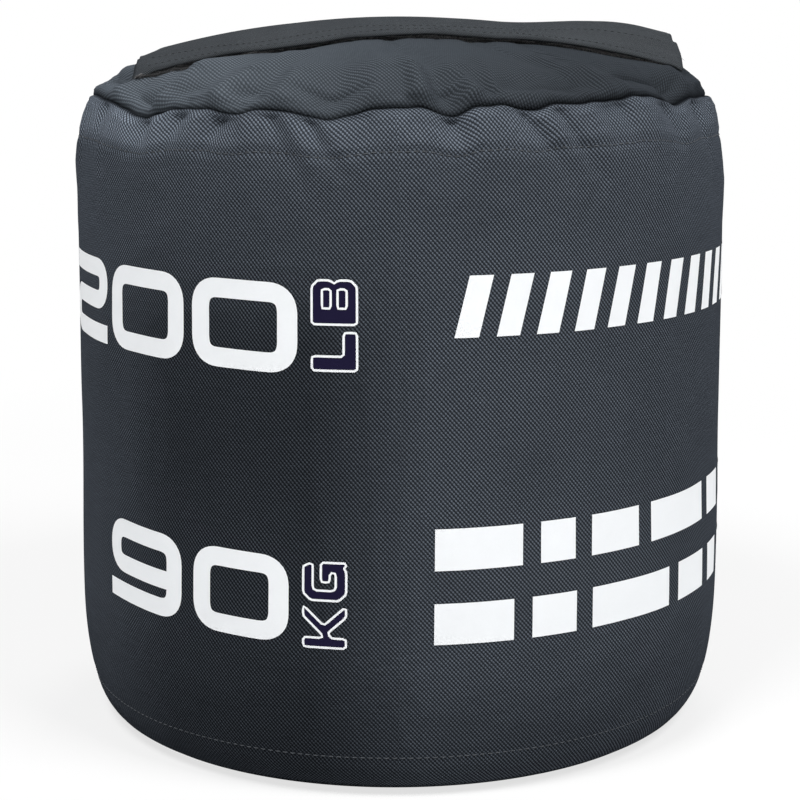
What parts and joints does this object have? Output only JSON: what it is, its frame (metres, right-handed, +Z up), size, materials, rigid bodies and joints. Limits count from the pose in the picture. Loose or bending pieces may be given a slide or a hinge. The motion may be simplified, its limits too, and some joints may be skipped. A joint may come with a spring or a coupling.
{
  "type": "sandbag trainer",
  "caption": "Round training sandbag of coated nylon with a zipped domed top, a hinged hook-and-loop cover flap, an inner liner and a sand filling.",
  "frame": {"origin": "centre of the flat bottom, on the surface that the bag stands on", "axes": "+Z up along the bag's axis, -Y towards the printed front, +X to the right seen from the front"},
  "size_m": [0.422, 0.422, 0.4436],
  "materials": {
    "shell_nylon": "coarse woven, coated, low sheen",
    "lining_nylon": "plain woven",
    "webbing": "ribbed webbing",
    "zip_tape": "fine twill tape",
    "zip_plastic": "moulded",
    "zip_metal": "dark, worn at the edges",
    "hook_strip": "stiff hooks",
    "loop_strip": "fuzzy loops",
    "liner_film": "woven film",
    "tie_cord": "twisted cord",
    "dry_sand": "fine dry sand"
  },
  "bodies": {
    "bag": {"wall_panel": "shell_nylon", "back_seam_tape": "webbing", "bottom_panel": "shell_nylon", "top_panel_front": "shell_nylon", "top_panel_rear": "shell_nylon", "top_seam_webbing": "webbing", "bottom_seam_webbing": "webbing", "zip_tape_front": "zip_tape", "zip_tape_rear": "zip_tape", "zip_teeth_front": "zip_plastic", "zip_teeth_rear": "zip_plastic", "zip_stop_left": "zip_plastic", "zip_stop_right": "zip_plastic", "zip_end_tab_left": "shell_nylon", "zip_end_tab_right": "shell_nylon", "flap_loop_strip": "loop_strip", "flap_hem": "shell_nylon", "liner_bag": "liner_film", "liner_neck_tie": "tie_cord", "sand_fill": "dry_sand"},
    "flap": {"flap_cover": "shell_nylon", "flap_lining": "lining_nylon", "flap_hook_strip": "hook_strip"},
    "zip_slider": {"zip_slider": "zip_metal"},
    "zip_pull": {"zip_pull": "zip_metal"}
  },
  "joints": [
    {"name": "flap_hinge", "type": "hinge", "parent": "bag", "child": "flap", "pos_m": [0, 0.03, 0.43617], "axis": [-1, 0, 0], "range_deg": [0, 130]},
    {"name": "zip_travel", "type": "hinge", "parent": "bag", "child": "zip_slider", "pos_m": [0, 0, -0.18353], "axis": [0, -1, 0], "range_deg": [0, 25.6]},
    {"name": "pull_swing", "type": "hinge", "parent": "zip_slider", "child": "zip_pull", "pos_m": [0.13797, 0, 0.42285], "axis": [0, -1, 0], "range_deg": [0, 98]}
  ],
  "couplings": [
    {"joint": "pull_swing", "follows": "flap_hinge", "ratio": 0.75}
  ]
}
